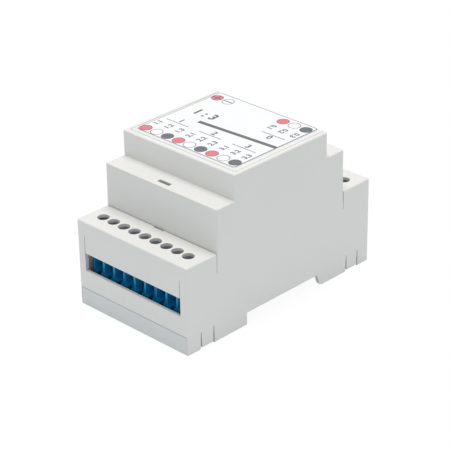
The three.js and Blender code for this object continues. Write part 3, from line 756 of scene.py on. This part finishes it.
def make_fuse():
    """A dipped disc with rounded edges on two legs."""
    node = "supply_fuse"
    low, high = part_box(node)
    middle = (low + high) / 2
    radius, thickness = (high.x - low.x) / 2, high.y - low.y
    edge = thickness / 2
    profile = [(radius - edge + edge * across, edge * along)
               for across, along in turn_points(2 * CORNER_STEPS, -math.pi / 2, math.pi / 2)]
    disc = turned_body(profile, HEAD_SIDES)
    bmesh.ops.rotate(disc, matrix=Matrix.Rotation(math.pi / 2, 3, "X"), verts=disc.verts)
    centre = (middle.x, middle.y, high.z - radius)
    placed(mesh_data(disc, "fuse_disc", MATERIALS["fuse"]), "fuse_disc", body_of(node), centre,
           nodes=[node])
    legs = bmesh.new()
    for side in (-1, 1):
        across = middle.x + side * LEG_PITCH
        leg_low = (across - LEG_THICKNESS / 2, middle.y - LEG_THICKNESS / 2, low.z)
        leg_high = (across + LEG_THICKNESS / 2, middle.y + LEG_THICKNESS / 2, centre[2])
        add_mesh(legs, rounded_box(leg_low, leg_high, LEAD_ROUND))
    placed(mesh_data(legs, "fuse_legs", MATERIALS["contact"]), "fuse_legs", body_of(node),
           nodes=[node])


def make_solder():
    """Solder cones round the contact pins, under the board."""
    profile = [(JOINT_RADIUS * share, JOINT_HEIGHT * (1 - share) ** 2) for share in JOINT_SHARES]
    joints = bmesh.new()
    for node in nodes_named("contact"):
        low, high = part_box(node)
        tail = low.y + PIN_INSET if is_turned(node) else high.y - PIN_INSET
        cone = turned_body(profile, JOINT_SIDES)
        bmesh.ops.rotate(cone, matrix=Matrix.Rotation(math.pi, 3, "X"), verts=cone.verts)
        add_mesh(joints, cone, place=((low.x + high.x) / 2, tail, board_low.z))
    placed(mesh_data(joints, "solder_joints", MATERIALS["solder"]), "solder_joints",
           body_of("circuit_board"))


def make_passives():
    """Rows of small resistors and capacitors between each driver and the middle of the board."""
    length, width, height = PASSIVE_SIZE
    inner = length / 2 - length * PASSIVE_CAP_SHARE
    body_height = height - LEAD_ROUND / 2
    bodies, caps = bmesh.new(), bmesh.new()
    for node in nodes_named("output_driver"):
        low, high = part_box(node)
        for setback in PASSIVE_SETBACKS:
            for spread in PASSIVE_SPREAD:
                place = ((low.x + high.x) / 2 + spread, high.y + setback, board_high.z)
                body = rounded_box((-inner, -width / 2, 0), (inner, width / 2, body_height),
                                   LEAD_ROUND / 2)
                add_mesh(bodies, body, place)
                for left, right in ((-length / 2, -inner), (inner, length / 2)):
                    end = rounded_box((left, -width / 2, 0), (right, width / 2, height), LEAD_ROUND)
                    add_mesh(caps, end, place)
    for name, mesh, finish, slot in (("passive_bodies", bodies, "ceramic", "chip"),
                                     ("passive_caps", caps, "contact", "contact")):
        placed(mesh_data(mesh, name, MATERIALS[finish]), name, body_of("circuit_board"))


make_chips()
make_regulator()
make_capacitor()
make_fuse()
make_solder()
make_passives()


# Printed sheet: film with rounded corners, and its ink as thin prisms that end at the sheet's height
sheet_low, sheet_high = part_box("label_sheet")
sheet_middle = (sheet_low + sheet_high) / 2


def rounded_outline(half_width, half_length, radius):
    """Points round a rectangle with round corners, counterclockwise."""
    points = []
    for corner, (across, along) in enumerate(((1, 1), (-1, 1), (-1, -1), (1, -1))):
        start, end = corner * math.pi / 2, (corner + 1) * math.pi / 2
        for share_x, share_y in turn_points(CORNER_STEPS, start, end):
            points.append((across * (half_width - radius) + radius * share_x,
                           along * (half_length - radius) + radius * share_y))
    return points


def circle(radius, centre):
    """The outline of a dot."""
    return [(centre[0] + radius * math.cos(math.tau * i / DOT_SIDES),
             centre[1] + radius * math.sin(math.tau * i / DOT_SIDES)) for i in range(DOT_SIDES)]


def bar(start, end, width):
    """The outline of a straight line of ink."""
    along = (Vector(end) - Vector(start)).normalized()
    side = Vector((-along.y, along.x)) * width / 2
    first, last = Vector(start), Vector(end)
    return [tuple(first - side), tuple(last - side), tuple(last + side), tuple(first + side)]


def add_figure(mesh, text, size, place, turn, low, high):
    """Plain figures in the built-in typeface, centred on a place."""
    curve = bpy.data.curves.new("figure", "FONT")
    curve.body = text
    curve.size = 1
    curve.offset = GLYPH_WEIGHT
    curve.resolution_u = GLYPH_STEPS
    curve.align_x = "CENTER"
    curve.align_y = "CENTER"
    curve.extrude = (high - low) / (2 * size)
    holder = bpy.data.objects.new("figure", curve)
    bpy.context.scene.collection.objects.link(holder)
    shown = holder.evaluated_get(bpy.context.evaluated_depsgraph_get())
    glyphs = bmesh.new()
    glyphs.from_mesh(shown.to_mesh())
    bmesh.ops.remove_doubles(glyphs, verts=glyphs.verts, dist=GLYPH_WELD)
    spot = Matrix.Translation((*place, (low + high) / 2)) @ Matrix.Rotation(turn, 4, "Z")
    bmesh.ops.transform(glyphs, matrix=spot @ Matrix.Scale(size, 4), verts=glyphs.verts)
    add_mesh(mesh, glyphs)
    bpy.data.objects.remove(holder)
    bpy.data.curves.remove(curve)


def dots(start, count):
    """The middles of a row of dots."""
    return [(start[0] + i * DOT_PITCH, start[1]) for i in range(count)]


def make_sheet():
    """The film, then the dots with their rules and figures, the title's place and the printed border,
    whose wider right side is painted shade.
    """
    half = (sheet_high - sheet_low) / 2
    film_top = sheet_high.z - INK_THICKNESS
    low, high = film_top - INK_SINK, sheet_high.z
    film = bmesh.new()
    add_prism(film, rounded_outline(half.x, half.y, SHEET_CORNER), sheet_low.z, film_top)
    bmesh.ops.translate(film, vec=(sheet_middle.x, sheet_middle.y, 0), verts=film.verts)
    placed(mesh_data(film, "label_film", MATERIALS["label"]), "label_film",
           body_of("label_sheet"), nodes=["label_sheet"])

    dark, red = bmesh.new(), bmesh.new()
    red_top = (film_top + high) / 2
    outputs = dots(OUTPUT_DOTS, GROUP_COUNT * GROUP_SIZE)
    inputs = dots(INPUT_DOTS, GROUP_SIZE)
    plus, minus = supply = dots(POWER_DOTS, 2)
    for row in (outputs, inputs, supply):
        for i, centre in enumerate(row):
            kind = i % GROUP_SIZE
            disc = circle(DOT_RADIUS, centre)
            if kind == RED_DOT:
                add_prism(red, disc, low, red_top)
            hole = None if kind == DARK_DOT else circle(DOT_RADIUS - DOT_LINE, centre)
            add_prism(dark, disc, low, high, hole)
    for x, y in (plus, minus):
        add_prism(dark, bar((x - SIGN_REACH, y), (x + SIGN_REACH, y), SIGN_WIDTH), low, high)
    x, y = plus
    for side in (-1, 1):
        arm = bar((x, y + side * SIGN_WIDTH / 2), (x, y + side * SIGN_REACH), SIGN_WIDTH)
        add_prism(dark, arm, low, high)

    groups = [(outputs[GROUP_SIZE * i:GROUP_SIZE * (i + 1)], str(i + 1), 1) for i in range(GROUP_COUNT)]
    groups.append((inputs, "0", -1))
    for row, figure, way in groups:
        rule_y = OUTPUT_RULE_Y if way > 0 else INPUT_RULE_Y
        add_prism(dark, bar((row[0][0], rule_y), (row[-1][0], rule_y), LINE_WIDTH), low, high)
        beyond = (row[1][0], rule_y + way * GROUP_FIGURE_REACH)
        add_figure(dark, figure, GROUP_FIGURE, beyond, 0, low, high)
        for i, (x, y) in enumerate(row):
            spot = (x, y + way * POLE_FIGURE_REACH)
            add_figure(dark, f"{figure}.{i + 1}", POLE_FIGURE, spot, way * math.pi / 2, low, high)
    add_figure(dark, "1 : 3", TITLE_FIGURE, TITLE_PLACE, 0, low, high)
    add_prism(dark, bar(TITLE_RULE_START, TITLE_RULE_END, TITLE_RULE_WIDTH), low, high)
    for mesh in (dark, red):
        bmesh.ops.rotate(mesh, matrix=Matrix.Rotation(PRINT_TURN, 3, "Z"), verts=mesh.verts)

    inset = BORDER_INSET + BORDER_WIDTH
    outer = rounded_outline(half.x - BORDER_INSET, half.y - BORDER_INSET, SHEET_CORNER - BORDER_INSET)
    # The inner edge moves left, so the printed border's right side is wider, painted shade along the
    # sheet's right edge
    inner = [(x - BORDER_SHADE_SHIFT, y)
             for x, y in rounded_outline(half.x - inset, half.y - inset, SHEET_CORNER - inset)]
    add_prism(dark, outer, low, high, inner)
    for mesh, name in ((dark, "dark_ink"), (red, "red_ink")):
        placed(mesh_data(mesh, name, MATERIALS[name]), f"label_{name}", body_of("label_sheet"),
               (sheet_middle.x, sheet_middle.y, 0))


make_sheet()

for node, slot in SLOTS.items():
    cad = frame["nodes"][node]
    if not cad.hide_render:
        cad.data.materials.clear()
        cad.data.materials.append(MATERIALS[slot])


# Light, floor and camera
def area_light(name, place, size, power, colour):
    lamp = bpy.data.lights.new(name, "AREA")
    lamp.shape = "RECTANGLE"
    lamp.size, lamp.size_y = size
    lamp.energy = power
    lamp.color = colour
    holder = bpy.data.objects.new(name, lamp)
    holder.location = place
    holder.rotation_euler = (CAMERA_TARGET - Vector(place)).to_track_quat("-Z", "Y").to_euler()
    bpy.context.scene.collection.objects.link(holder)


def world_light(strength, colour):
    """Soft light from all round, seen as plain white by the camera and in reflections."""
    world = bpy.data.worlds.new("studio")
    world.use_nodes = True
    bpy.context.scene.world = world
    tree = world.node_tree
    output = tree.nodes["World Output"]
    soft = tree.nodes["Background"]
    soft.inputs["Color"].default_value = (*colour, 1)
    soft.inputs["Strength"].default_value = strength
    white = tree.nodes.new("ShaderNodeBackground")
    white.inputs["Color"].default_value = (1, 1, 1, 1)
    tree.links.new(mixed_rays(tree, soft.outputs[0], white.outputs[0]), output.inputs["Surface"])


def mixed_rays(tree, usual, seen):
    """Mixes a second shader in for camera, glossy and transmission rays."""
    rays = tree.nodes.new("ShaderNodeLightPath")
    factor = rays.outputs["Is Camera Ray"]
    for name in ("Is Glossy Ray", "Is Transmission Ray"):
        larger = tree.nodes.new("ShaderNodeMath")
        larger.operation = "MAXIMUM"
        tree.links.new(factor, larger.inputs[0])
        tree.links.new(rays.outputs[name], larger.inputs[1])
        factor = larger.outputs[0]
    mix = tree.nodes.new("ShaderNodeMixShader")
    tree.links.new(factor, mix.inputs[0])
    tree.links.new(usual, mix.inputs[1])
    tree.links.new(seen, mix.inputs[2])
    return mix.outputs[0]


def floor(size, seen_share):
    """Pale floor; the camera sees it near white with the object's shadow, and through it from below."""
    mesh = bmesh.new()
    bmesh.ops.create_grid(mesh, x_segments=1, y_segments=1, size=size)
    data = bpy.data.meshes.new("floor")
    mesh.to_mesh(data)
    mesh.free()
    piece = bpy.data.objects.new("floor", data)
    bpy.context.scene.collection.objects.link(piece)
    material = bpy.data.materials.new("floor_paper")
    material.use_nodes = True
    tree = material.node_tree
    tree.nodes.remove(tree.nodes["Principled BSDF"])
    usual = tree.nodes.new("ShaderNodeBsdfDiffuse")
    usual.inputs["Color"].default_value = FLOOR_COLOUR
    shaded = tree.nodes.new("ShaderNodeBsdfDiffuse")
    shaded.inputs["Color"].default_value = (seen_share, seen_share, seen_share, 1)
    glow = tree.nodes.new("ShaderNodeEmission")
    glow.inputs["Color"].default_value = (1, 1, 1, 1)
    glow.inputs["Strength"].default_value = 1 - seen_share
    both = tree.nodes.new("ShaderNodeAddShader")
    tree.links.new(shaded.outputs[0], both.inputs[0])
    tree.links.new(glow.outputs[0], both.inputs[1])
    above = mixed_rays(tree, usual.outputs[0], both.outputs[0])
    clear = tree.nodes.new("ShaderNodeBsdfTransparent")
    sides = tree.nodes.new("ShaderNodeMixShader")
    tree.links.new(tree.nodes.new("ShaderNodeNewGeometry").outputs["Backfacing"], sides.inputs[0])
    tree.links.new(above, sides.inputs[1])
    tree.links.new(clear.outputs[0], sides.inputs[2])
    tree.links.new(sides.outputs[0], tree.nodes["Material Output"].inputs["Surface"])
    data.materials.append(material)


def camera():
    """The photograph's camera: an orbit round the target, then a small roll."""
    azimuth, elevation = CAMERA_AZIMUTH, CAMERA_ELEVATION
    back = Vector((math.sin(azimuth) * math.cos(elevation),
                   -math.cos(azimuth) * math.cos(elevation), math.sin(elevation)))
    level = Vector((0, 0, 1)).cross(back).normalized()
    upward = back.cross(level)
    right = math.cos(CAMERA_ROLL) * level + math.sin(CAMERA_ROLL) * upward
    up = back.cross(right)
    lens = bpy.data.cameras.new("camera")
    lens.sensor_width = SENSOR_WIDTH
    lens.lens = FOCAL_PIXELS / PHOTO_PIXELS * SENSOR_WIDTH
    lens.clip_start = CAMERA_DISTANCE / CLIP_RATIO
    lens.clip_end = CAMERA_DISTANCE * CLIP_RATIO
    holder = bpy.data.objects.new("camera", lens)
    turn = Matrix((right, up, back)).transposed().to_4x4()
    holder.matrix_world = Matrix.Translation(CAMERA_TARGET + back * CAMERA_DISTANCE) @ turn
    bpy.context.scene.collection.objects.link(holder)
    bpy.context.scene.camera = holder


world_light(WORLD_STRENGTH, WORLD_COLOUR)
area_light("overhead", LAMP_PLACE, LAMP_SIZE, LAMP_POWER, LAMP_COLOUR)
floor(FLOOR_SIZE, FLOOR_SHARE)
camera()
bpy.context.scene.view_settings.view_transform = "Standard"
